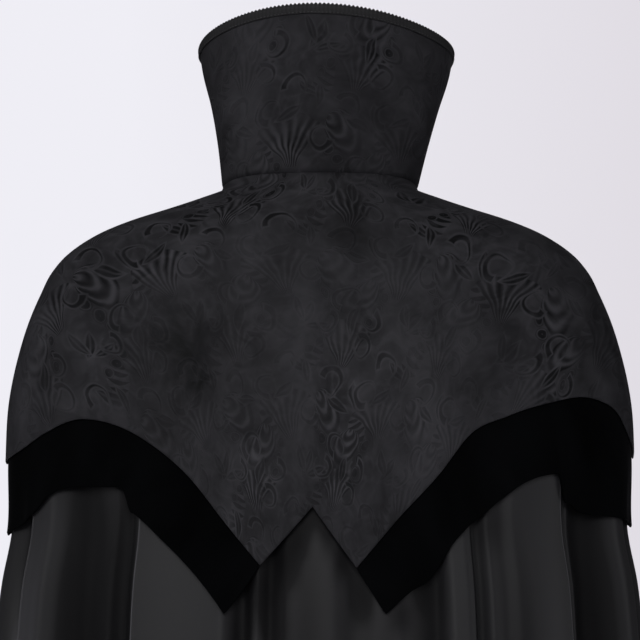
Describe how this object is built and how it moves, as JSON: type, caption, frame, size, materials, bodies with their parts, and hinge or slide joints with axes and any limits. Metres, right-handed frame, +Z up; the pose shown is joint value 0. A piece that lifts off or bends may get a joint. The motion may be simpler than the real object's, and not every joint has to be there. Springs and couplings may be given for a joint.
{
  "type": "high-collared cloak",
  "caption": "Full-length black cloak with a flared brocade stand collar, a pointed brocade capelet edged with a velvet band, and a satin body in deep folds, open at the front.",
  "frame": {"origin": "middle of the neck seam, level with its side points, where the wearer's neck and shoulders hold the cloak", "axes": "+Z up, -Y the way the wearer faces, +X the wearer's left"},
  "size_m": [0.7868, 0.5543, 1.4979],
  "materials": {
    "brocade": "black jacquard brocade, light and dark woven leaves and flowers on a soft satin ground",
    "binding": "black ribbed binding with a picot edge",
    "velvet": "deep black velvet pile",
    "satin": "black satin with a soft sheen",
    "fastener": "black lacquered wire"
  },
  "bodies": {
    "root": {"collar": "brocade", "collar_binding": "binding", "capelet_back_left": "brocade", "capelet_back_right": "brocade", "capelet_front_left": "brocade", "capelet_front_right": "brocade", "velvet_back_left": "velvet", "velvet_back_right": "velvet", "velvet_front_left": "velvet", "velvet_front_right": "velvet", "cape_back_left": "satin", "cape_back_right": "satin", "cape_front_left": "satin", "cape_front_right": "satin", "neck_hook": "fastener", "neck_eye": "fastener"}
  },
  "joints": []
}
